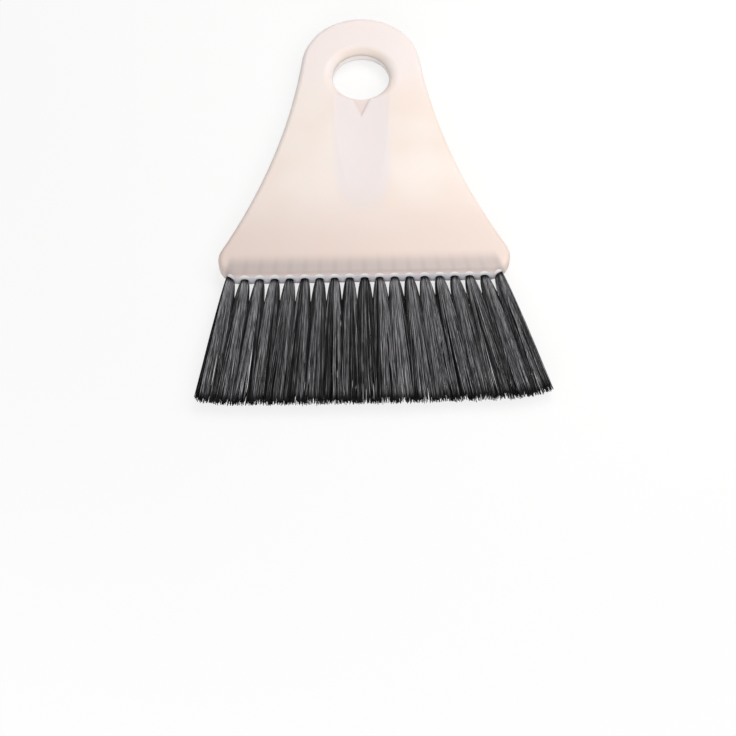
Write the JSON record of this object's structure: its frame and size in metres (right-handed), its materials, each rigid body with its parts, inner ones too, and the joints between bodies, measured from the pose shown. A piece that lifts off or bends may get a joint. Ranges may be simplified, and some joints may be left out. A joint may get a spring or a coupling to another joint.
{
  "type": "hand broom",
  "caption": "Flat translucent plastic hand broom: a flared plate handle with a hanging hole and one row of dark bristle tufts, for sweeping crumbs into a pan.",
  "frame": {"origin": "centre of the hanging hole, half way through the plate", "axes": "+Y from the bristles towards the hanging end, +Z out of the front face, +X across to the right; the broom lies on its flat back"},
  "size_m": [0.1548, 0.2112, 0.009],
  "materials": {
    "handle_plastic": "satin translucent moulded polypropylene",
    "bristle_filament": "dark extruded filament",
    "anchor_wire": "galvanised flat wire"
  },
  "bodies": {
    "root": {"handle": "handle_plastic", "bristle_tuft_01": "bristle_filament", "bristle_tuft_02": "bristle_filament", "bristle_tuft_03": "bristle_filament", "bristle_tuft_04": "bristle_filament", "bristle_tuft_05": "bristle_filament", "bristle_tuft_06": "bristle_filament", "bristle_tuft_07": "bristle_filament", "bristle_tuft_08": "bristle_filament", "bristle_tuft_09": "bristle_filament", "bristle_tuft_10": "bristle_filament", "bristle_tuft_11": "bristle_filament", "bristle_tuft_12": "bristle_filament", "bristle_tuft_13": "bristle_filament", "bristle_tuft_14": "bristle_filament", "bristle_tuft_15": "bristle_filament", "bristle_tuft_16": "bristle_filament", "bristle_tuft_17": "bristle_filament", "bristle_tuft_18": "bristle_filament", "bristle_tuft_19": "bristle_filament", "tuft_anchors": "anchor_wire"}
  },
  "joints": []
}
